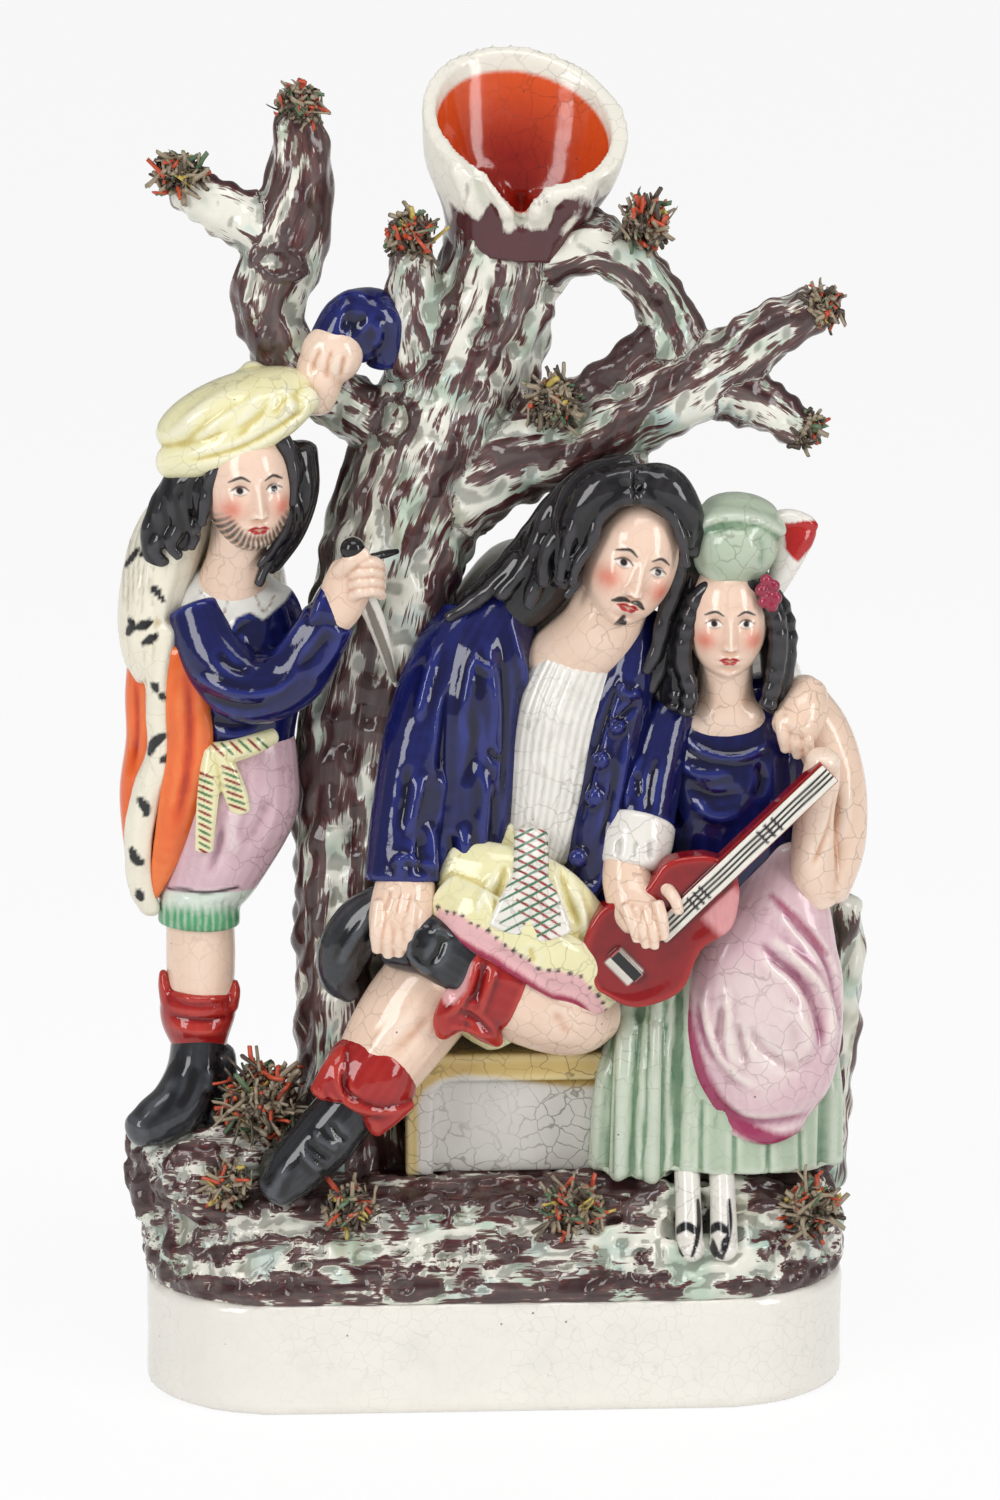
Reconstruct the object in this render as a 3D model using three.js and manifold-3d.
// Staffordshire flatback figure: a group of three figures under a tree whose broken top is a spill cup.
// Millimetres, +Z up, +X to the viewer's right, the modelled front faces -Y and the flat back faces +Y.
// The origin is the middle of the underside, so the piece stands on z = 0.
//
// The real piece is pressed earthenware. Its parts are shaped apart and luted together with slip, and
// each part here is a solid of its own. Where two parts meet, the one that is listed later is trimmed to
// fit the earlier one, with the clearance of one slip joint between the two.

import * as THREE from 'three';
import { mergeVertices } from 'three/addons/utils/BufferGeometryUtils.js';
import Module from 'manifold-3d';

const wasm = await Module();
wasm.setup();

// Joints and the flat back
const CLEARANCE = 0.3;
const BACK_PLANE = 24;
const MOULD_SEAM = 5;
const CUT_TOLERANCE = 0.1;

// Plinth, closing slab and ground
const PLINTH_LENGTH = 174.8;
const PLINTH_DEPTH = 76;
const PLINTH_HEIGHT = 28;
const PLINTH_CORNER = 34;
const PLINTH_ARRIS = 1;
const SLAB_THICKNESS = 4;
const SLAB_MARGIN = 9;
const VENT_DIAMETER = 6;
const VENT_OFFSET = 34;
const VENT_DEPTH = 16;
const MOUND_HEIGHT = 27;
const MOUND_LUMP = 1.1;
const ROCK_HEIGHT = 13;
const LEDGE_WIDTH = 6;
const GROUND = PLINTH_HEIGHT + MOUND_HEIGHT;
const LEDGE_Y = LEDGE_WIDTH - PLINTH_DEPTH / 2;

// Bench
const BENCH_LEFT = -22.5;
const BENCH_RIGHT = 27;
const BENCH_HEIGHT = 31;
const BENCH_FRONT = 17;
const BENCH_RIM = 6.5;
const BENCH_CORNER = 8;
const BENCH_RECESS = 3;

// Tree and spill cup
const TREE_X = -35.5;
const TREE_HEIGHT = 229;
const BARK_RIDGE = 0.8;
const CUP_HEIGHT = 52;
const CUP_FOOT_WIDTH = 30;
const CUP_MOUTH_WIDTH = 52;
const CUP_MOUTH_DEPTH = 40;
const CUP_WALL = 4;
const RIM_SLOPE = 0.86;
const RIM_CANT = 0.15;
const RIM_MID_HEIGHT = 29;
const SPILL_HOLE_DEPTH = 26;
const NOTCH_WIDTH = 5;
const STUMP_X = 88;
const STUMP_HEIGHT = 66;

// Figures: the height of each from where it rests, and where it rests
const BRIGAND_X = -73;
const BRIGAND_HEIGHT = 185;
const SUITOR_X = 6;
const SUITOR_SITTING_HEIGHT = 146;
const LADY_X = 55;
const LADY_HEIGHT = 185;
const LADY_STEP = 12;
const SKIRT_PLEATS = 15;
const PLEAT_DEPTH = 0.9;
const SHIRT_RIB = 0.5;

// Guitar
const GUITAR_TILT = 44;
const GUITAR_THICKNESS = 8;
const LOWER_BOUT = 14.3;
const UPPER_BOUT = 11.6;
const GUITAR_WAIST = 10.4;
const GUITAR_BODY_LENGTH = 44;
const NECK_LENGTH = 34;
const NECK_WIDTH = 6.4;
const FINGERBOARD_RISE = 1.6;
const GUITAR_FACE = -33.5;
const NECK_START = GUITAR_BODY_LENGTH - LOWER_BOUT;

// Shredded-clay tufts
const TUFT_ROUGHNESS = 0.16;

const FINISH = {
  cream: { color: 0xece7da, roughness: 0.22 },
  bark: { color: 0x8a6f6c, roughness: 0.25 },
  ground: { color: 0xa79592, roughness: 0.25 },
  flesh: { color: 0xe8c9b2, roughness: 0.22 },
  hair: { color: 0x1b1818, roughness: 0.2 },
  cobalt: { color: 0x1c2450, roughness: 0.12 },
  white: { color: 0xe6e2dc, roughness: 0.22 },
  yellow: { color: 0xe2d79a, roughness: 0.22 },
  pink: { color: 0xcf9fae, roughness: 0.22 },
  green: { color: 0xa9c7ae, roughness: 0.22 },
  oxblood: { color: 0x7d1f1f, roughness: 0.15 },
  black: { color: 0x17181a, roughness: 0.15 },
  ochre: { color: 0xd2b876, roughness: 0.22 },
  fur: { color: 0xe4dccb, roughness: 0.25 },
  tuft: { color: 0x6f6a55, roughness: 0.7 },
};

// Solids from geometry

/** The solid inside a closed BufferGeometry whose faces point out. */
function solidOf(geometry) {
  const bare = geometry.clone();
  bare.deleteAttribute('normal');
  bare.deleteAttribute('uv');
  const merged = mergeVertices(bare, 1e-4);
  const mesh = new wasm.Mesh({
    numProp: 3,
    vertProperties: new Float32Array(merged.attributes.position.array),
    triVerts: new Uint32Array(merged.index.array),
  });
  return new wasm.Manifold(mesh);
}

/** The BufferGeometry of a solid, with smooth vertex normals. */
function geometryOf(solid) {
  const { vertProperties, triVerts } = solid.getMesh();
  const geometry = new THREE.BufferGeometry();
  geometry.setAttribute('position', new THREE.BufferAttribute(vertProperties, 3));
  geometry.setIndex(new THREE.BufferAttribute(triVerts, 1));
  geometry.computeVertexNormals();
  return geometry;
}

/** Turns the faces of a geometry outward when its signed volume says that they point in. */
function faceOut(positions, indices) {
  const a = new THREE.Vector3();
  const b = new THREE.Vector3();
  const c = new THREE.Vector3();
  let volume = 0;
  for (let i = 0; i < indices.length; i += 3) {
    a.fromArray(positions, 3 * indices[i]);
    b.fromArray(positions, 3 * indices[i + 1]);
    c.fromArray(positions, 3 * indices[i + 2]);
    volume += a.dot(b.cross(c));
  }
  return volume < 0 ? indices.slice().reverse() : indices;
}

/** A closed skin over a row of rings with equal point counts, from a first pole to a last pole. */
function skin(firstPole, rings, lastPole) {
  const count = rings[0].length;
  const points = [firstPole, ...rings.flat(), lastPole];
  const last = points.length - 1;
  const indices = [];
  for (let i = 0; i < count; i += 1) {
    const next = (i + 1) % count;
    const endRing = last - count;
    indices.push(0, 1 + next, 1 + i);
    indices.push(last, endRing + i, endRing + next);
    for (let ring = 0; ring < rings.length - 1; ring += 1) {
      const low = 1 + ring * count;
      const high = low + count;
      indices.push(low + i, low + next, high + next);
      indices.push(low + i, high + next, high + i);
    }
  }
  const positions = points.flatMap((point) => point.toArray());
  const geometry = new THREE.BufferGeometry();
  geometry.setAttribute('position', new THREE.Float32BufferAttribute(positions, 3));
  geometry.setIndex(faceOut(positions, indices));
  return geometry;
}

// Forms: each is a function of the growth that gives a solid, so a seat is its piece grown by the clearance

const FAR = 400;
const CAP_STEPS = 2;
const BLUNT_ROUND = 0.3;
const QUARTER_TURN = Math.PI / 2;

/**
 * A limb, trunk or garment: an oval carried along a smooth path.
 * A station is [x, y, z, half width, half depth]. The width lies across the path in the plane of the
 * back, and the depth lies front to back. relief(turn, along) adds to the radius of a section.
 */
function loft(stations, { sides = 8, rings = 0, square = 2, round = 0.6, relief = () => 0 } = {}) {
  return (grow) => {
    const path = new THREE.CatmullRomCurve3(stations.map(([x, y, z]) => new THREE.Vector3(x, y, z)));
    const girth = new THREE.CatmullRomCurve3(
      stations.map(([, , , width, depth = width]) => new THREE.Vector3(width, depth, 0)),
    );
    const steps = rings || stations.length - 1;
    const back = new THREE.Vector3(0, 1, 0);

    const section = (along, shift, scale) => {
      const tangent = path.getTangent(along);
      const across = new THREE.Vector3().crossVectors(back, tangent).normalize();
      const deep = new THREE.Vector3().crossVectors(tangent, across);
      const centre = path.getPoint(along).addScaledVector(tangent, shift);
      const { x: width, y: depth } = girth.getPoint(along);
      const ring = [];
      for (let side = 0; side < sides; side += 1) {
        const turn = (4 * QUARTER_TURN * side) / sides;
        const swell = grow + relief(turn, along);
        const u = Math.sign(Math.cos(turn)) * Math.abs(Math.cos(turn)) ** (2 / square);
        const v = Math.sign(Math.sin(turn)) * Math.abs(Math.sin(turn)) ** (2 / square);
        ring.push(
          centre
            .clone()
            .addScaledVector(across, u * (width + swell) * scale)
            .addScaledVector(deep, v * (depth + swell) * scale),
        );
      }
      return ring;
    };
    const capLength = (along) => {
      const { x: width, y: depth } = girth.getPoint(along);
      return Math.min(width, depth) * round + grow;
    };
    const cap = (along, way) => {
      if (round === 0) return [section(along, way * grow, 1)];
      const caps = [];
      const capSteps = round <= BLUNT_ROUND ? 1 : CAP_STEPS;
      for (let step = 0; step < capSteps; step += 1) {
        const rise = (QUARTER_TURN * step) / capSteps;
        caps.push(section(along, way * capLength(along) * Math.sin(rise), Math.cos(rise)));
      }
      return caps;
    };
    const pole = (along, way) => path.getPoint(along).addScaledVector(path.getTangent(along),
      way * capLength(along));

    const middle = [];
    for (let step = 1; step < steps; step += 1) middle.push(section(step / steps, 0, 1));
    const all = [...cap(0, -1).reverse(), ...middle, ...cap(1, 1)];
    return solidOf(skin(pole(0, -1), all, pole(1, 1)));
  };
}

/** An oval ball. radii are half sizes along X, Y and Z before it leans by tilt degrees to the right. */
function ball([x, y, z], radii, { tilt = 0, sides = 9, rings = 6, relief = () => 0 } = {}) {
  return (grow) => {
    const geometry = new THREE.SphereGeometry(1, sides, rings);
    geometry.rotateX(QUARTER_TURN);
    const position = geometry.attributes.position;
    for (let i = 0; i < position.count; i += 1) {
      const unit = new THREE.Vector3().fromBufferAttribute(position, i);
      const swell = 1 + relief(unit);
      position.setXYZ(
        i,
        unit.x * (radii[0] * swell + grow),
        unit.y * (radii[1] * swell + grow),
        unit.z * (radii[2] * swell + grow),
      );
    }
    geometry.rotateY(THREE.MathUtils.degToRad(tilt));
    geometry.translate(x, y, z);
    return solidOf(geometry);
  };
}

/** A raised ring of bark round a knot, lying in the plane of the picture. */
function knotRing([x, y, z], radius, thickness, squash = 1) {
  return (grow) => {
    const geometry = new THREE.TorusGeometry(radius, thickness + grow, 4, 8);
    geometry.scale(1, squash, 1);
    geometry.rotateX(QUARTER_TURN);
    geometry.translate(x, y, z);
    return solidOf(geometry);
  };
}

/** A block between two corners. */
function block(low, high) {
  return (grow) => {
    const size = high.map((value, axis) => value - low[axis] + 2 * grow);
    const geometry = new THREE.BoxGeometry(...size);
    geometry.translate(...high.map((value, axis) => (value + low[axis]) / 2));
    return solidOf(geometry);
  };
}

/** An outline in X and Z, given by a function of its growth, extruded from front to back in Y. */
function plate(outline, front, back) {
  return (grow) => {
    const depth = back - front + 2 * grow;
    const geometry = new THREE.ExtrudeGeometry(outline(grow),
      { depth, bevelEnabled: false, curveSegments: 8 });
    geometry.rotateX(QUARTER_TURN);
    geometry.translate(0, back + grow, 0);
    return solidOf(geometry);
  };
}

const join = (...forms) => (grow) => forms.map((form) => form(grow)).reduce((a, b) => a.add(b));
const cut = (form, ...tools) => (grow) => tools.reduce((left, tool) =>
  left.subtract(tool(-grow)), form(grow));
const within = (form, limit) => (grow) => form(grow).intersect(limit(grow));

// The two mould halves, and the forms that are pressed in one of them or trimmed at the back
const frontHalf = block([-FAR, -FAR, 0], [FAR, MOULD_SEAM - CLEARANCE / 2, FAR]);
const backHalf = block([-FAR, MOULD_SEAM + CLEARANCE / 2, 0], [FAR, BACK_PLANE, FAR]);
const moulded = (form) => within(form, frontHalf);
const pressed = (form) => within(form, backHalf);
const flatBacked = (form) => within(form, block([-FAR, -FAR, 0], [FAR, BACK_PLANE, FAR]));

/** A sculptor's frame: stations inside it are measured from the footing of one figure. */
class Footing {
  constructor(x, z, height, drawnHeight) {
    this.x = x;
    this.z = z;
    this.scale = height / drawnHeight;
  }

  point([x, y, z]) {
    return [this.x + x * this.scale, y * this.scale, this.z + z * this.scale];
  }

  loft(stations, options) {
    const placed = stations.map(([x, y, z, width, depth = width]) => [
      ...this.point([x, y, z]),
      width * this.scale,
      depth * this.scale,
    ]);
    return loft(placed, options);
  }

  ball(centre, radii, options) {
    return ball(this.point(centre), radii.map((radius) => radius * this.scale), options);
  }

  knotRing(centre, radius, thickness, squash) {
    return knotRing(this.point(centre), radius * this.scale, thickness * this.scale, squash);
  }

  head(centre, radii, { tilt, chin, nose, neck }) {
    const face = this.ball(centre, radii, { tilt, sides: 10, rings: 7 });
    return join(face, this.ball(...chin, { tilt, sides: 8, rings: 5 }),
      this.ball(...nose, { tilt, sides: 6, rings: 4 }),
      this.loft(neck, { sides: 8 }));
  }
}

// The height at which the stations of each are drawn
const DRAWN = { tree: 229, stump: 66, rock: 13, brigand: 185, suitor: 146, lady: 185 };
const tree = new Footing(TREE_X, GROUND, TREE_HEIGHT, DRAWN.tree);
const stump = new Footing(STUMP_X, GROUND, STUMP_HEIGHT, DRAWN.stump);
const rock = new Footing(BRIGAND_X, GROUND, ROCK_HEIGHT, DRAWN.rock);
const brigand = new Footing(BRIGAND_X, GROUND + ROCK_HEIGHT, BRIGAND_HEIGHT, DRAWN.brigand);
const suitor = new Footing(SUITOR_X, GROUND + BENCH_HEIGHT, SUITOR_SITTING_HEIGHT, DRAWN.suitor);
const lady = new Footing(LADY_X, PLINTH_HEIGHT + LADY_STEP, LADY_HEIGHT, DRAWN.lady);

// Parts, in the order in which they are fitted
const parts = [];

function part(name, finish, form) {
  parts.push({ name, finish, form });
}

const gathers = (count, depth) => (turn) => depth * Math.cos(count * turn);

// Plinth, closing slab and ground

/** The plan of the base, a long block with round ends. */
function plan(length, depth) {
  const corner = Math.min(PLINTH_CORNER, depth / 2 - 0.01);
  const shape = new THREE.Shape();
  const x = length / 2 - corner;
  const y = depth / 2 - corner;
  shape.absarc(x, -y, corner, -QUARTER_TURN, 0, false);
  shape.absarc(x, y, corner, 0, QUARTER_TURN, false);
  shape.absarc(-x, y, corner, QUARTER_TURN, 2 * QUARTER_TURN, false);
  shape.absarc(-x, -y, corner, 2 * QUARTER_TURN, 3 * QUARTER_TURN, false);
  shape.closePath();
  return shape;
}

const CORNER_STEPS = 3;
const MOUND_POINTS = 34;

/** A slab on the plan of the base between two heights, inset from its edge, with an arris at each end. */
const planSlab = (inset, low, high, arris = 0) => (grow) => {
  const level = (z, draw) =>
    plan(PLINTH_LENGTH - 2 * (inset + draw - grow), PLINTH_DEPTH - 2 * (inset + draw - grow))
      .getPoints(CORNER_STEPS)
      .slice(1)
      .map(({ x, y }) => new THREE.Vector3(x, y, z));
  const rings = [level(low - grow, arris), level(high + grow, arris)];
  if (arris > 0) rings.splice(1, 0, level(low - grow + arris, 0), level(high + grow - arris, 0));
  return solidOf(skin(new THREE.Vector3(0, 0, low - grow), rings, new THREE.Vector3(0, 0, high + grow)));
};

/** The vent bored through the closing slab into the plinth. */
const vent = (depth) => (grow) => {
  const geometry = new THREE.CylinderGeometry(VENT_DIAMETER / 2 + grow, VENT_DIAMETER / 2 + grow,
    2 * depth, 16);
  geometry.rotateX(QUARTER_TURN);
  geometry.translate(VENT_OFFSET, 0, 0);
  return solidOf(geometry);
};

// A terrace of the mound is [height above the plinth, inset at the ends, inset at the front and back]
const TERRACES = [
  [CLEARANCE, 1.2, 1.2],
  [3, 0.4, 0.2],
  [12, 0.3, 3],
  [22, 3.4, 8.6],
  [MOUND_HEIGHT - 1.4, 8, 12],
  [MOUND_HEIGHT, 16, 16],
];

/** The rocky ground on the plinth: terraces that step in as they rise, broken by lumps. */
function mound(grow) {
  const rings = TERRACES.map(([rise, endInset, frontInset], level) => {
    const outline = plan(PLINTH_LENGTH - 2 * (endInset - grow), PLINTH_DEPTH - 2 * (frontInset - grow));
    const height = PLINTH_HEIGHT + rise + (level > 0 ? grow : -grow);
    return outline.getSpacedPoints(MOUND_POINTS).slice(1).map((point, i) => {
      const lump = level > 0 ? MOUND_LUMP * Math.sin(1.9 * i + 0.35 * rise) * Math.cos(0.7 * i - 0.2 * rise) : 0;
      const stretch = 1 + lump / point.length();
      return new THREE.Vector3(point.x * stretch, point.y * stretch, height);
    });
  });
  const low = new THREE.Vector3(0, 0, PLINTH_HEIGHT + CLEARANCE - grow);
  return solidOf(skin(low, rings, new THREE.Vector3(0, 0, GROUND + grow)));
}

// The rock that the brigand stands on is one piece with the ground
part('ground_mound', 'ground', join(mound, rock.loft(
  [[3, 0, -9, 20, 24], [3, -2, 1, 20.5, 25], [3, -4, 8, 19.5, 22], [2.5, -4, 11.4, 15, 16]],
  { sides: 11, rings: 3, round: 0.06, relief: (turn, along) => 1.3 * Math.sin(4 * turn + 5 * along) },
)));
part('base_plinth', 'cream', cut(
  planSlab(0, 0, PLINTH_HEIGHT, PLINTH_ARRIS),
  planSlab(SLAB_MARGIN - CLEARANCE, -1, SLAB_THICKNESS + CLEARANCE),
  vent(VENT_DEPTH),
));
part('base_slab', 'cream', cut(planSlab(SLAB_MARGIN, 0, SLAB_THICKNESS), vent(VENT_DEPTH)));

// The tree
const trunk = tree.loft(
  [[0, 6, -13, 21, 22], [0, 6, 3, 15.6, 19.5], [-0.8, 6, 41, 13.2, 18], [0.4, 6, 79, 14.3, 18],
    [4.5, 6, 117, 16.3, 18.4], [12, 6, 152.5, 17.8, 18.6], [19.9, 6, 174.7, 19.3, 18.6],
    [27.7, 6, 197, 17.8, 18],
    [35.1, 5, 216.4, 15.3, 16.8], [39.4, 4, 229, 15, 16.4]],
  {
    sides: 11,
    rings: 10,
    round: 0,
    relief: (turn, along) => BARK_RIDGE * (Math.sin(3 * turn + 9 * along) + 0.6 * Math.sin(5 * turn - 14 * along)),
  },
);
const cupFoot = tree.point([39.4, 3, 229]);
const [cupX, cupY, cupZ] = cupFoot;
const spillBore = loft(
  [[cupX - 1.4, cupY, cupZ - SPILL_HOLE_DEPTH, 7, 7], [cupX, cupY, cupZ, CUP_FOOT_WIDTH / 2 - 5.5, 10],
    [cupX + 1.5, cupY - 1, cupZ + 0.2 * CUP_HEIGHT, CUP_MOUTH_WIDTH / 2 - CUP_WALL - 7.5, 13],
    [cupX + 3.2, cupY - 2.4, cupZ + 0.42 * CUP_HEIGHT, CUP_MOUTH_WIDTH / 2 - CUP_WALL - 2.4,
    CUP_MOUTH_DEPTH / 2 - CUP_WALL - 1],
    [cupX + 5, cupY - 3, cupZ + 1.1 * CUP_HEIGHT, CUP_MOUTH_WIDTH / 2 - CUP_WALL,
    CUP_MOUTH_DEPTH / 2 - CUP_WALL]],
  { sides: 14, rings: 5 },
);

/** Everything above the slanting rim of the cup, which stands high at the back. */
function aboveRim(grow) {
  const size = 4 * CUP_HEIGHT;
  const geometry = new THREE.BoxGeometry(size, size, size);
  geometry.translate(0, 0, size / 2 - grow);
  geometry.rotateX(Math.atan(RIM_SLOPE));
  geometry.rotateY(Math.atan(RIM_CANT));
  geometry.translate(cupX + 5, cupY - 4, cupZ + RIM_MID_HEIGHT);
  return solidOf(geometry);
}

const notch = loft(
  [[cupX + 1.6, cupY - 21, cupZ + 6, 0.7, 2],
    [cupX + 1.5, cupY - 21.5, cupZ + 13, NOTCH_WIDTH / 2 - 0.6, 3.4],
    [cupX + 1.5, cupY - 22, cupZ + 24, NOTCH_WIDTH, 5]],
  { sides: 6 },
);
part('spill_cup', 'cream', cut(loft(
  [[cupX, cupY, cupZ + CLEARANCE, CUP_FOOT_WIDTH / 2, 15.6],
    [cupX + 1, cupY - 0.6, cupZ + 0.14 * CUP_HEIGHT, 17.4, 16.6],
    [cupX + 2.6, cupY - 2, cupZ + 0.36 * CUP_HEIGHT, CUP_MOUTH_WIDTH / 2 - 2.6, CUP_MOUTH_DEPTH / 2 - 1],
    [cupX + 4.4, cupY - 3, cupZ + 0.66 * CUP_HEIGHT, CUP_MOUTH_WIDTH / 2 - 0.4, CUP_MOUTH_DEPTH / 2],
    [cupX + 5.2, cupY - 3, cupZ + CUP_HEIGHT, CUP_MOUTH_WIDTH / 2, CUP_MOUTH_DEPTH / 2]],
  { sides: 15, rings: 5, round: 0 },
), aboveRim, spillBore, notch));
part('trunk_front', 'bark', cut(join(
  moulded(trunk),
  tree.knotRing([10, -10.6, 185], 5.4, 1.7, 1.25),
  tree.knotRing([-4.5, -10.2, 95], 4.2, 1.5, 1.4),
  tree.loft([[17.5, 0, 202, 9, 9.5], [16.1, -2.5, 213, 7.4, 8], [15.5, -4.5, 224, 5.8, 6.4],
    [15.5, -6, 231, 4.6, 5]],
    { sides: 8 }),
), spillBore));
part('trunk_back', 'cream', cut(pressed(trunk), spillBore));

// The bench and the pressed back of the couple

/** The outline of the bench in the picture plane: square at the right, a round shoulder at the left. */
const benchOutline = (inset) => (grow) => {
  const left = BENCH_LEFT + inset - grow;
  const right = BENCH_RIGHT + grow;
  const top = GROUND + BENCH_HEIGHT - inset - CLEARANCE + grow;
  const bottom = GROUND - 6 - grow;
  const corner = BENCH_CORNER - 0.4 * inset;
  const shape = new THREE.Shape();
  shape.moveTo(left, bottom);
  shape.lineTo(right, bottom);
  shape.lineTo(right, top);
  shape.lineTo(left + corner, top);
  shape.absarc(left + corner, top - corner, corner, QUARTER_TURN, 2 * QUARTER_TURN, false);
  return shape;
};
part('bench', 'ochre', cut(
  plate(benchOutline(0), -BENCH_FRONT, BACK_PLANE - 6),
  plate(benchOutline(BENCH_RIM), -BENCH_FRONT - BENCH_RECESS, -BENCH_FRONT + BENCH_RECESS),
));
part('couple_back', 'cream', pressed(join(
  suitor.loft([[12, 14, 120, 9, 12], [6, 14, 108, 20, 14], [1, 14, 82, 26, 15], [-1, 14, 54, 26.5, 15],
    [-1, 14, 26, 26, 15], [-3, 14, 4, 25, 14]], { sides: 9, rings: 4, square: 3 }),
  lady.loft([[2, 14, 150, 9, 12], [4, 14, 132, 19.5, 14], [3.6, 14, 110, 19.8, 15], [2.4, 14, 90, 19, 15],
    [0.4, 14, 60, 27.4, 15.6], [-0.6, 14, 18, 31.4, 16]], { sides: 10, rings: 6, square: 3, round: 0.3 }),
)));

// The brigand, who stands on the rock at the left
part('brigand_dagger', 'black', join(
  brigand.ball([37, -27, 148.5], [3.3, 3.3, 3.3], { sides: 8, rings: 6 }),
  brigand.loft([[37.4, -27, 146, 1.8, 1.8], [39.4, -26, 139, 2.6, 1.8], [42.4, -22, 131.2, 2.9, 1.3],
    [45.8, -16.5, 120, 2.3, 1.2], [48.8, -12.4, 110, 0.9, 0.9]], { sides: 6 }),
));
part('brigand_hand', 'flesh', join(
  brigand.loft([[31.5, -22, 127.5, 4.6, 4.8], [34.5, -23.5, 132, 5.2, 5.2], [37.2, -24.5, 137, 6.2, 5.4],
    [38.4, -25, 142, 5.6, 5]], { sides: 8 }),
  brigand.loft([[34.5, -27, 141, 2, 2], [38, -29.5, 143.5, 1.9, 1.8],
    [41.5, -28.5, 143, 1.7, 1.7]], { sides: 6 }),
));
part('brigand_beret', 'yellow', brigand.loft(
  [[13, -9, 170, 15.8, 13.2], [12, -9.5, 172.5, 18.6, 14.8], [10.6, -10, 175.8, 20.3, 15.8],
    [9.2, -9.6, 179, 18.4, 14.4], [8.1, -9, 181.8, 12.5, 10]],
  { sides: 18, rings: 4, relief: gathers(9, 0.5) },
));
part('brigand_head', 'flesh', brigand.head([15.1, -16, 157.6], [10.6, 12.2, 13], {
  tilt: -4,
  chin: [[15.4, -20.5, 147.6], [6.6, 7, 5.4]],
  nose: [[16.2, -27.8, 155.4], [1.8, 2.8, 3.2]],
  neck: [[8, -8, 131, 11, 8], [9, -9, 136, 8.6, 7.6], [10.4, -10.5, 143, 7.2, 7.4], [13, -13, 151, 7.2, 8]],
}));
part('brigand_hair', 'hair', join(
  brigand.ball([13, -8.5, 161], [13.6, 13.2, 12.5]),
  brigand.loft([[6, -11, 166, 6.5, 8], [0.6, -12.5, 154.4, 8.6, 8.6], [-2, -13, 142.5, 7.4, 7.6],
    [-3, -13, 136.5, 4.6, 5.2]], { sides: 8 }),
  brigand.loft([[22, -11, 168, 5.4, 7.5], [24.8, -12, 156.3, 4.8, 7.4], [23, -12.5, 144, 4.9, 6.4],
    [19, -13, 136.6, 3.2, 4.4]], { sides: 8 }),
));
part('brigand_sleeve', 'cobalt', brigand.loft(
  [[0, -11, 128.5, 7.4, 7.4], [4, -15, 119.5, 8.6, 8.2], [12, -18.5, 111.5, 9.2, 8.6],
    [22.5, -20, 114, 8.2, 8], [29.2, -21.5, 123.5, 7.2, 7.2], [32, -22.3, 128.8, 6.3, 6.4]],
  { sides: 9, round: 0.3 },
));
part('brigand_boot', 'black', join(
  brigand.loft([[0.4, -6, 37, 8.8, 9.2], [0, -6.5, 30, 9.2, 9.6], [-0.3, -7.5, 20.5, 8.2, 9.2]],
    { sides: 9, round: 0.15, relief: gathers(5, 0.4) }),
  brigand.loft([[-0.4, -7, 24, 7, 8], [-1.4, -8.5, 12.5, 7.4, 8.6], [-5.6, -12.5, 5, 7.2, 8],
    [-11.6, -16.5, 1.8, 6.2, 6.4], [-15.6, -19, 0.4, 4.6, 4.8]], { sides: 8 }),
));
part('brigand_leg', 'flesh', brigand.loft(
  [[-0.2, -6, 59, 8, 8.6], [0.1, -6, 50.8, 8.4, 9], [0.2, -6, 40.7, 8.6, 9.2], [-0.1, -6, 27.9, 8, 8.6],
    [-0.3, -7, 16, 6.4, 7.2]], { sides: 10, rings: 6 },
));
part('brigand_breeches', 'pink', join(
  brigand.loft([[10.4, -5, 100, 13, 12], [10, -5.5, 90, 14.8, 12.8], [8.6, -6, 80, 16, 13],
    [4, -6.5, 66, 12.9, 11.6], [0.4, -6.5, 57, 10.4, 10.2], [-0.2, -6.5, 51, 10.2, 10]],
    { sides: 10, round: 0.1 }),
  brigand.loft([[-3, -13, 94, 3.6, 4.2], [7, -17.4, 90.6, 4, 3], [18, -15.5, 93, 3.8, 3.4]], { sides: 8 }),
  brigand.loft([[7, -16.4, 90, 4.6, 3.2], [3.6, -18, 81, 4.8, 2.8], [0.8, -18.4, 68, 4.8, 2.6]],
    { sides: 8 }),
));
part('brigand_jacket', 'cobalt', brigand.loft(
  [[8, -5, 137, 10, 9], [8.2, -5, 131, 15.4, 11.6], [10.2, -5.5, 118, 17.2, 13.4],
    [10.4, -5, 98, 13.6, 12.6],
    [10.4, -5, 89, 13.4, 12.4]], { sides: 10, round: 0.3 },
));
part('brigand_cloak', 'fur', flatBacked(join(
  brigand.loft([[4, 12, 164, 9, 13], [3, 12, 150, 14, 15], [2.5, 12, 137, 19, 16.5], [3.5, 12, 119, 20, 17],
    [4.5, 12, 100, 19.5, 17], [3, 12, 84, 19, 16.5], [-2, 12, 68, 13, 15], [-8.5, 10, 56, 7.6, 11]],
    { sides: 9, rings: 5, square: 2.6 }),
  brigand.loft([[1, -3, 159, 7.5, 7.5], [-8, -5, 141, 9.4, 9.5], [-14, -6, 122, 6.6, 9],
    [-13, -6, 106.3, 5.2, 8.5],
    [-11.2, -6, 89, 4.4, 8], [-14.4, -6, 69, 4.4, 7.5], [-11.4, -5, 55, 3.2, 6]], { sides: 7, rings: 5 }),
)));

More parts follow.
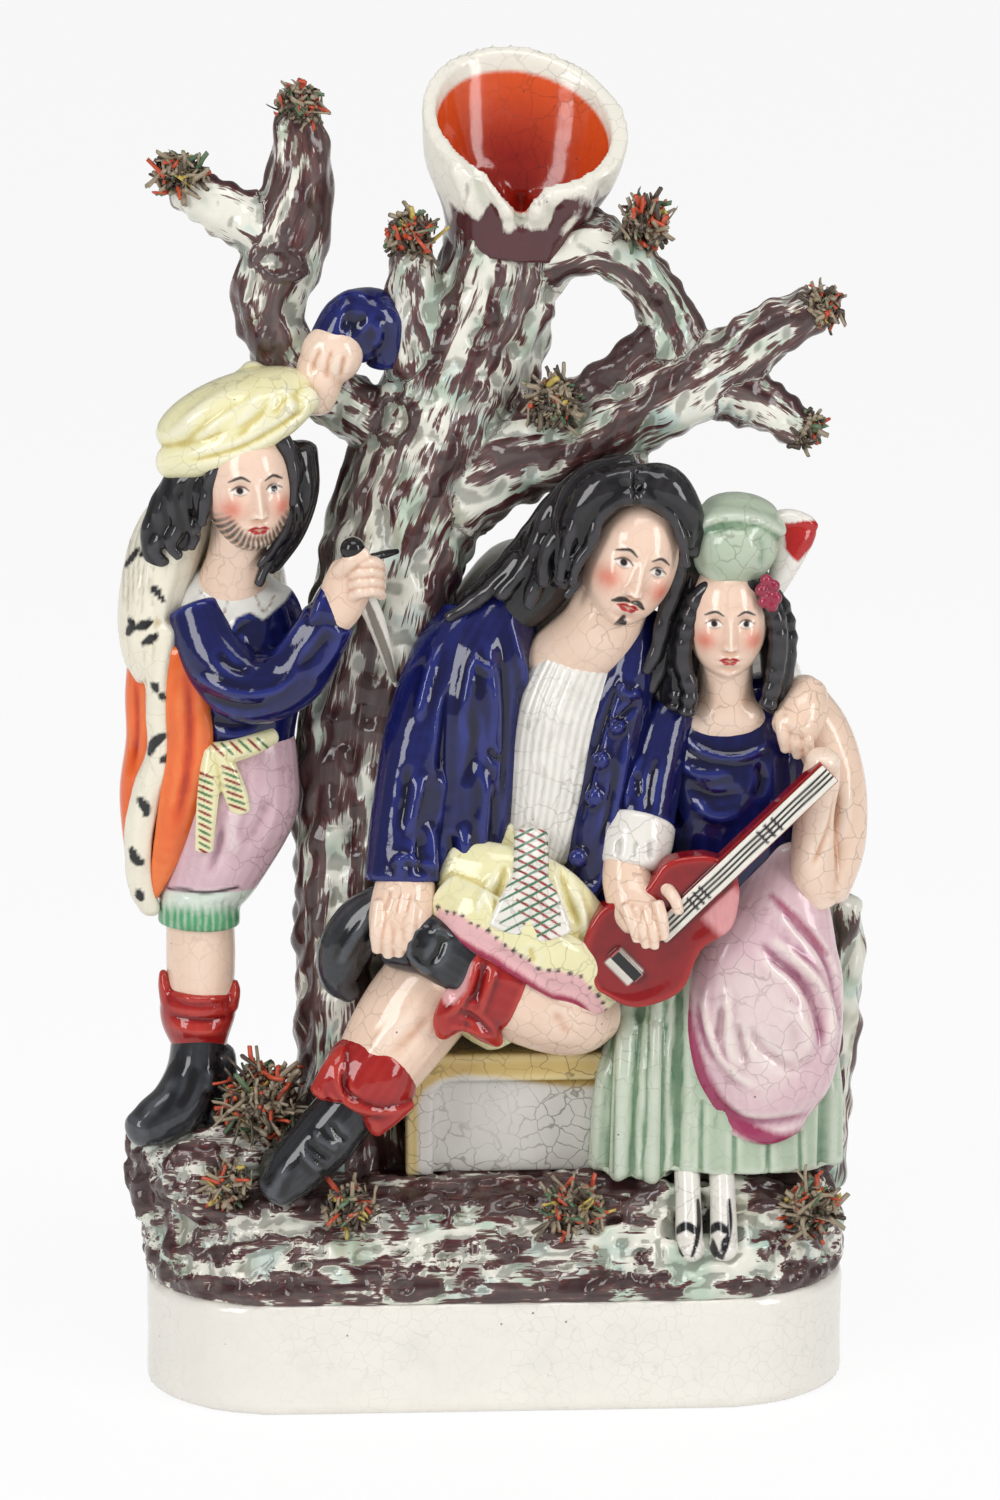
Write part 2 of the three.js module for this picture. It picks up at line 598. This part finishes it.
// The suitor, who sits on the bench with one leg across the other
part('suitor_hand', 'flesh', join(
  suitor.loft([[-28.8, -24, 50, 6.6, 6], [-29.2, -26.5, 44, 8, 6.2], [-30.2, -30, 37, 8, 5.6],
    [-32, -31.5, 30, 6.4, 4.6]], { sides: 8 }),
  ...[0, 1, 2, 3].map((finger) => suitor.loft(
    [[-36.4, -31, 33, 1.9, 2], [-37.2, -32, 28, 1.8, 1.9], [-37, -31, 24, 1.5, 1.6]]
      .map(([x, y, z, width, depth]) => [x + 3.6 * finger, y, z + 0.8 * Math.abs(finger - 1),
        width, depth]),
    { sides: 5 },
  )),
));
part('suitor_head', 'flesh', suitor.head([25.2, -18, 119.2], [11.8, 13.2, 14.4], {
  tilt: 12,
  chin: [[23.4, -23.5, 107], [6.8, 7.4, 5.6]],
  nose: [[23.6, -31.2, 117], [1.9, 2.8, 3.6]],
  neck: [[12, -10, 95, 12, 8.4], [16.4, -12, 100.5, 10.4, 9], [20.5, -14, 107, 9.4, 9.4],
    [23.5, -16, 115, 9, 9]],
}));
part('suitor_hair', 'hair', moulded(join(
  suitor.ball([26.5, -9, 126.5], [16, 15, 17.6], { tilt: 10 }),
  suitor.loft([[19, -14, 136, 9, 9], [9.7, -12, 129, 10, 10.5], [5.6, -11, 119, 9.4, 10.5],
    [4, -10, 110.5, 8, 9]], { sides: 8 }),
  suitor.loft([[36, -13, 133, 6, 8.5], [40, -12.5, 121, 6, 8.6], [39.2, -12, 104, 6.6, 8.6],
    [37.8, -11, 90, 6, 7]], { sides: 8 }),
)));
part('suitor_sleeve', 'cobalt', suitor.loft(
  [[-13, -8, 108, 6.5, 7.4], [-19.2, -12, 98, 8.2, 8.6], [-24.6, -16.5, 81, 9, 8.8],
    [-28.4, -20, 60, 8.8, 8.4],
    [-29, -22.5, 47.5, 9.2, 8.2]], { sides: 9, round: 0.15 },
));
part('suitor_jacket_right', 'cobalt', moulded(suitor.loft(
  [[27.5, -7, 108, 7.4, 9], [25.2, -11, 98, 7.4, 9.6], [21.5, -13.5, 79, 8.4, 9.8],
    [18, -14.5, 60, 8.4, 9.6],
    [15.6, -15.5, 40, 7, 8.8]], { sides: 9, round: 0.2 },
)));
part('suitor_jacket_left', 'cobalt', moulded(suitor.loft(
  [[-3, -5, 112, 9, 9.5], [-8.6, -8.5, 101, 12.4, 11.6], [-12, -11.5, 89.5, 12.6, 11.8],
    [-13.6, -13, 65, 12.6, 11.4],
    [-16.6, -15, 45, 12.2, 10.4]], { sides: 10, round: 0.15 },
)));
part('suitor_shirt', 'white', suitor.loft(
  [[17.6, -9.5, 103, 9.6, 8.6], [14.4, -11, 96, 11.6, 9.4], [9.8, -12, 83, 12.6, 10],
    [7, -13, 65, 11.4, 9.6],
    [4, -13.5, 52, 9, 8.4]], { sides: 18, round: 0.15, rings: 3, relief: gathers(9, SHIRT_RIB) },
));
part('suitor_crossed_boot', 'black', join(
  suitor.loft([[-3.5, -26, 19, 11.4, 11], [-10, -27, 21.6, 12.6, 11.8], [-16.6, -27, 25, 11.8, 11]],
    { sides: 9, round: 0.15, relief: gathers(4, 0.5) }),
  suitor.loft([[-14, -27, 24.6, 8.4, 8.6], [-22, -27, 30.6, 8.8, 8.6], [-30.3, -24, 32.5, 8.4, 8],
    [-39, -20.5, 30.2, 7.4, 7.4], [-43, -18, 22, 5.4, 6]], { sides: 8 }),
));
part('suitor_crossed_leg', 'flesh', suitor.loft(
  [[18, -16, 10.5, 8.6, 9], [12.4, -19.5, 11, 10.8, 11], [3.6, -23, 15, 11.9, 11.4],
    [-8.4, -25.5, 20.9, 11.2, 10.8],
    [-18, -27, 25.6, 8, 8]], { sides: 8 },
));
part('suitor_boot', 'black', join(
  suitor.loft([[-32.6, -24.5, 4, 10.8, 10.4], [-37.3, -26, -2, 12.6, 11.6],
    [-42.2, -27.6, -10, 11.4, 10.8]],
    { sides: 9, round: 0.15, relief: gathers(4, 0.6) }),
  suitor.loft([[-40, -27, -7, 8, 8], [-48.7, -28.6, -17.1, 8.4, 8.2], [-56, -30, -24.8, 7.2, 7],
    [-61, -30.6, -30.2, 5, 5]],
    { sides: 8 }),
));
part('suitor_shin', 'flesh', suitor.loft(
  [[-3, -12, 35, 12, 11], [-16, -17, 24, 12.6, 12], [-27.5, -21, 11, 12.9, 12],
    [-37.7, -25.5, -3.2, 10.4, 10],
    [-44, -27.4, -11.4, 7, 7]], { sides: 14 },
));
part('suitor_kilt', 'yellow', moulded(join(
  suitor.loft([[0, -8, 55, 17, 11.6], [-2.6, -10, 45, 21, 13.4], [-3, -13, 35, 24.6, 14.6],
    [0, -14.5, 23, 24, 14.8],
    [7, -15.5, 14, 19.6, 13.6]], { sides: 14, rings: 3, round: 0.25, relief: gathers(7, 0.5) }),
  suitor.loft([[2.4, -19.5, 51, 4.4, 4.4], [3.4, -22.6, 44, 5, 4], [4.4, -26.2, 36, 5.6, 3.6],
    [4.6, -28, 27, 6, 3.4]], { sides: 8 }),
)));

// The lady, who stands and plays
part('lady_hand', 'flesh', join(
  lady.loft([[-24, -24, 97, 5.4, 5.4], [-23.8, -27, 92, 6.2, 5.4], [-22, -32, 86.6, 6, 4.4]], { sides: 8 }),
  ...[0, 1, 2, 3].map((finger) => lady.loft(
    [[-24, -33.4, 84, 1.7, 1.7], [-21, -35.6, 80, 1.6, 1.5], [-18.6, -36, 76.6, 1.3, 1.3]]
      .map(([x, y, z, width, depth]) => [x + 1.7 * finger, y, z + 2.1 * finger, width, depth]),
    { sides: 5 },
  )),
));

/** The guitar's flat outline about its long axis, from the tail at the lower bout to the neck joint. */
function guitarOutline(grow) {
  const edge = new THREE.SplineCurve([
    [-LOWER_BOUT - grow, 0],
    [-0.75 * LOWER_BOUT, 0.66 * LOWER_BOUT + grow],
    [0, LOWER_BOUT + grow],
    [0.36 * NECK_START, GUITAR_WAIST + grow],
    [0.66 * NECK_START, UPPER_BOUT + grow],
    [0.9 * NECK_START, 0.62 * UPPER_BOUT + grow],
    [NECK_START + grow, NECK_WIDTH / 2],
  ].map(([along, across]) => new THREE.Vector2(along, across)));
  const upper = edge.getPoints(12);
  const lower = upper.slice(1).reverse().map(({ x, y }) => new THREE.Vector2(x, -y));
  return onGuitarAxis([...upper, ...lower]);
}

/** A bar across or along the guitar, between two distances on its axis. */
const guitarBar = (from, to, halfWidth) => (grow) =>
  onGuitarAxis([
    new THREE.Vector2(from - grow, -halfWidth - grow),
    new THREE.Vector2(to + grow, -halfWidth - grow),
    new THREE.Vector2(to + grow, halfWidth + grow),
    new THREE.Vector2(from - grow, halfWidth + grow),
  ]);

/** Lays points given along and across the guitar's axis in the picture plane, about its lower bout. */
function onGuitarAxis(points) {
  const tilt = THREE.MathUtils.degToRad(GUITAR_TILT);
  const [x, , z] = lady.point([-20.9, 0, 75.7]);
  const origin = new THREE.Vector2(x, z);
  return new THREE.Shape(points.map((point) =>
    point.clone().rotateAround(new THREE.Vector2(), tilt).add(origin)));
}

part('guitar', 'oxblood', join(
  plate(guitarOutline, GUITAR_FACE, GUITAR_FACE + GUITAR_THICKNESS),
  plate(guitarBar(NECK_START - 4, NECK_START + NECK_LENGTH, NECK_WIDTH / 2), GUITAR_FACE + 0.4,
    GUITAR_FACE + GUITAR_THICKNESS - 2),
  plate(guitarBar(4, NECK_START + NECK_LENGTH, NECK_WIDTH / 2 - 0.4), GUITAR_FACE - FINGERBOARD_RISE,
    GUITAR_FACE + 1),
  plate(guitarBar(-6, -3.6, 5), GUITAR_FACE - FINGERBOARD_RISE, GUITAR_FACE + 1),
));
part('suitor_shoulder_hand', 'flesh', join(
  lady.loft([[23, -8, 141, 5.4, 6], [20.6, -13, 137, 6.6, 6], [18.2, -17, 131, 6.2, 5]], { sides: 8 }),
  ...[0, 1, 2].map((finger) => lady.loft(
    [[14.6, -19, 130, 1.9, 1.9], [14.8, -20.6, 126, 1.7, 1.7], [15.4, -20.6, 122.6, 1.4, 1.4]]
      .map(([x, y, z, width, depth]) => [x + 3.4 * finger, y, z + 0.8 * finger, width, depth]),
    { sides: 5 },
  )),
));
part('lady_hat', 'green', join(
  lady.loft([[5.4, -10, 163.5, 12.2, 12], [5, -11, 168, 13.6, 13.4], [4.2, -11.4, 174, 13.2, 13],
    [4, -11, 179.5, 12, 12], [5.5, -10.5, 183, 9, 9.4]],
    { sides: 12, rings: 5, round: 0.35, relief: gathers(6, 0.3) }),
  lady.loft([[12, -11, 165, 4.4, 4.6], [16.5, -10.5, 170.5, 5.2, 4.4], [21, -9.5, 177, 5.8, 3.8],
    [24.4, -9, 180.6, 3.6, 2.6]], { sides: 8 }),
  lady.ball([11.8, -18.4, 163], [3.2, 3.2, 4], { sides: 8, rings: 6 }),
));
part('lady_head', 'flesh', lady.head([0.8, -16, 153.4], [9.7, 11.4, 12.2], {
  tilt: 2,
  chin: [[0.6, -20.6, 143], [5.6, 6.2, 4.8]],
  nose: [[0.4, -27, 151.4], [1.5, 2.4, 2.9]],
  neck: [[1.8, -12.6, 121, 13.4, 7], [1.8, -11.5, 128, 11.4, 7.6], [1.6, -11.5, 135, 6.8, 7],
    [1.2, -13, 144, 6.8, 7.6]],
}));
part('lady_hair', 'hair', moulded(join(
  lady.ball([1.4, -8, 156], [12.6, 11.8, 12.4]),
  lady.loft([[-5.5, -12, 163, 5.6, 7.6], [-9.4, -12.5, 149, 6.4, 7.6], [-11.2, -13, 137, 6.2, 7],
    [-10.6, -13, 130, 4.2, 5.4]], { sides: 10, rings: 4 }),
  lady.loft([[9.4, -12, 161, 5, 7.4], [13.2, -12.5, 148.9, 5, 7], [14, -13, 137, 4.6, 6.4],
    [13, -13, 131, 3.2, 4.6]], { sides: 10, rings: 4 }),
)));
part('lady_arm', 'flesh', join(
  lady.loft([[18, -9, 133, 8, 8.4], [25, -11, 124, 7.8, 8], [29.4, -13, 112, 6.8, 7.4],
    [29.2, -15, 98, 6.8, 7],
    [25.6, -18, 87.4, 6.4, 6.6]], { sides: 8 }),
  lady.loft([[24, -19, 86.4, 5.8, 6], [22.2, -22, 94, 5.6, 5.6], [22.2, -24, 106, 5, 5],
    [23.4, -26, 116, 4.8, 5],
    [24, -27.5, 122, 4.2, 4.4]], { sides: 8 }),
));
part('lady_sleeve', 'cobalt', join(
  lady.loft([[-11, -8, 132, 7, 8], [-14.4, -11, 126, 8, 8.6], [-17.4, -14.5, 115, 8.2, 8.6],
    [-20, -18, 104, 8.4, 8.6]],
    { sides: 9, round: 0.2 }),
  lady.loft([[-20.4, -19.4, 103.4, 8.8, 8.8], [-21.8, -21.6, 98.4, 8.8, 8.8], [-23, -23.6, 94, 7.8, 8]],
    { sides: 9, round: 0.15 }),
));
part('lady_feet', 'white', join(
  ...[-1, 1].flatMap((side) => {
    const x = -4 + 4.3 * side;
    return [
      lady.loft([[x, -11, 27, 3.8, 5], [x, -14.5, 14, 3.6, 4.6], [x, -18, 5, 3.8, 5]], { sides: 8 }),
      lady.ball([x - 0.3 * side, -23, 2.6], [4.1, 8.6, 3.6], { sides: 10, rings: 7 }),
    ];
  }),
  lady.ball([-4, -9, 26], [8.4, 7, 4.4], { sides: 8, rings: 5 }),
));
part('lady_apron', 'pink', lady.loft(
  [[15.4, -13, 93, 7, 8], [13.4, -18, 82, 13.6, 9], [11.6, -20, 70, 18.6, 9.6],
    [10.3, -21.6, 52, 19.8, 9.8],
    [10.3, -22, 38, 16.4, 9], [10.8, -21.4, 29, 9.6, 7]],
  { sides: 12, rings: 6, relief: gathers(6, 0.5) },
));
part('lady_skirt', 'green', moulded(lady.loft(
  [[1, -6, 92, 16, 11.5], [0.4, -7, 80, 20, 14], [0.2, -7.6, 64, 26, 16.4], [-0.1, -8, 40, 31, 18.6],
    [-0.8, -8.4, 16, 32.4, 19.8]],
  {
    sides: 2 * SKIRT_PLEATS,
    rings: 4,
    round: 0,
    relief: (turn, along) => PLEAT_DEPTH * (0.3 + 0.7 * along) * Math.cos(SKIRT_PLEATS * turn),
  },
)));
part('lady_bodice', 'cobalt', moulded(lady.loft(
  [[2.6, -4, 135, 13, 8.4], [4, -5, 129.6, 20, 10.6], [3.8, -7, 118.6, 20.8, 13],
    [3.8, -8.4, 104, 18.8, 13.2],
    [2.8, -7.6, 89, 17, 12.4]], { sides: 12, round: 0.25 },
)));

// The branches and the stump, which are luted on to the trunk and the ground
part('brigand_raised_arm', 'cobalt', join(
  tree.loft([[9.5, -1, 204, 6.4, 7], [7, -4, 212, 7, 7.4], [0.5, -6, 212.4, 6.6, 6.8],
    [-3.9, -7.4, 207, 6, 6.2]],
    { sides: 8 }),
  tree.loft([[-4.1, -7.6, 206, 4.6, 4.8], [-7.1, -8.6, 200.6, 5.4, 5.2],
    [-7.9, -8.6, 194.6, 4.6, 4.6]], { sides: 8 }),
));
part('branch_arch', 'bark', join(
  tree.loft([[49.5, -1, 227, 8, 8.4], [59.5, -2, 230, 7.6, 7.8], [68.5, -2.6, 225.5, 6.6, 7],
    [76, -3.4, 216, 6.4, 6.8],
    [80.8, -4.4, 205.3, 7.4, 7.4], [83.5, -5, 196, 8.4, 8.2]], { sides: 8 }),
  tree.loft([[47.5, -1, 183, 7.4, 8], [61.3, -3, 195.7, 5.4, 5.8], [71, -4, 204.2, 4.9, 5.4],
    [78.5, -4.4, 211, 4.4, 5]],
    { sides: 8 }),
));
part('bough_right', 'bark', join(
  tree.loft([[23.5, 2, 169, 14, 13], [39.4, 0, 177.6, 12, 12], [56.3, -3, 182, 10, 10.6],
    [71, -4.6, 189, 9.4, 9.8],
    [83.1, -6, 195.4, 10, 9.6], [92.5, -7, 201.4, 8.4, 8.6], [101.5, -8, 208.4, 7.2, 7.4],
    [112.1, -9, 214.6, 6.2, 6.4]],
    { sides: 9, rings: 7 }),
  tree.loft([[84.5, -6, 197.8, 8.6, 8.4], [98.9, -8, 192.4, 6.9, 7],
    [108.9, -9, 186, 5.4, 5.8]], { sides: 8 }),
  tree.loft([[65.9, -4, 184, 6.6, 7], [68.1, -6.5, 172, 5.2, 6]], { sides: 8 }),
));
part('branch_left', 'bark', join(
  tree.loft([[13.5, 4, 183, 8.4, 9], [-2.5, 2, 192, 7.6, 8.4], [-13.9, 0, 201, 7.2, 8],
    [-19.1, -0.5, 213, 8.8, 8.6],
    [-15.7, -1, 229, 10.4, 9.4], [-12.5, -1, 240, 8.8, 8.6], [-11.3, -1, 251, 7.6, 7.6],
    [-11.7, -1, 260.6, 5.6, 6]],
    { sides: 10, rings: 9 }),
  tree.loft([[-15.5, -1, 231, 8.4, 8.2], [-24.5, -1.6, 236.2, 7, 7.2], [-33.5, -2, 240.8, 6, 6.2],
    [-39.1, -2, 245, 5, 5.4]],
    { sides: 8 }),
  tree.knotRing([-17.5, -9, 225], 3.4, 1.3, 0.75),
));
part('stump_right', 'bark', join(
  stump.loft([[-6, 8, -9, 7, 8], [-2.6, 8, 17, 5.8, 7], [0, 7, 41, 5.4, 6.4], [0.4, 6, 56, 4.8, 5.6]],
    { sides: 10, relief: (turn, along) => BARK_RIDGE * Math.sin(3 * turn + 8 * along) }),
  stump.ball([0.4, 4.6, 62], [4.8, 4.4, 4.6], { sides: 10, rings: 7 }),
));

/** The roughness of a heap of clay strands, as a share of its radius. */
function strands({ x, y, z }) {
  return TUFT_ROUGHNESS * (Math.sin(7 * x + 2 * z) * Math.cos(6 * y) + 0.5 * Math.sin(9 * z + 4 * y));
}

/** A tuft of clay strands: a rough ball pushed on to what carries it. */
function tuft(name, form, centre, radius) {
  part(name, 'tuft', form(centre, [radius, radius * 0.8, radius], { sides: 8, rings: 6, relief: strands }));
}

// Tufts on the branch ends and in the crotches
const onTree = (...shape) => tree.ball(...shape);
tuft('tuft_high_fork', onTree, [-11.3, -1.6, 264.4], 6.4);
tuft('tuft_low_fork', onTree, [-40.5, -3, 247.6], 6.6);
tuft('tuft_stub', onTree, [15.3, -7.6, 233.4], 6.4);
tuft('tuft_arch', onTree, [71.9, -8, 236.4], 7);
tuft('tuft_bough_tip', onTree, [114.9, -10, 216], 5.6);
tuft('tuft_bough_lower', onTree, [111.1, -10, 185], 4.8);
tuft('tuft_crotch', onTree, [49.5, -12.4, 193], 6.8);

// Tufts at the brigand's feet and along the front ledge of the ground
tuft('tuft_rock', ball, [BRIGAND_X + 14.5, -16.5, GROUND + ROCK_HEIGHT + 7.4], 10.2);
tuft('tuft_rock_foot', ball, [BRIGAND_X + 6.6, LEDGE_Y + 5, GROUND + 2], 5.6);
tuft('tuft_ground_left', ball, [BENCH_LEFT - 14.5, LEDGE_Y, GROUND - 3], 6);
tuft('tuft_ground_middle', ball, [BENCH_RIGHT - 8.6, LEDGE_Y + 2, GROUND - 6], 8);
tuft('tuft_ground_right', ball, [LADY_X + 22, LEDGE_Y + 7, GROUND - 6.4], 7.4);

// Fitting: each part is trimmed by the ones listed before it, and a crumb left beyond a seat is dropped

function largestBody(solid) {
  return solid.decompose().reduce((best, body) => (body.volume() > best.volume() ? body : best));
}

function boxesMeet(first, second) {
  return [0, 1, 2].every((axis) => first.min[axis] < second.max[axis] && second.min[axis] < first.max[axis]);
}

const group = new THREE.Group();
const seats = [];
for (const { name, finish, form } of parts) {
  const whole = form(0);
  const box = whole.boundingBox();
  const seated = seats
    .filter((seat) => boxesMeet(box, seat.box))
    .reduce((left, seat) => left.subtract(seat.solid), whole);
  const grown = form(CLEARANCE);
  seats.push({ solid: grown, box: grown.boundingBox() });
  const mesh = new THREE.Mesh(
    geometryOf(largestBody(seated.asOriginal().simplify(CUT_TOLERANCE))),
    new THREE.MeshStandardMaterial({ metalness: 0, ...FINISH[finish] }),
  );
  mesh.name = name;
  group.add(mesh);
}

export default group;
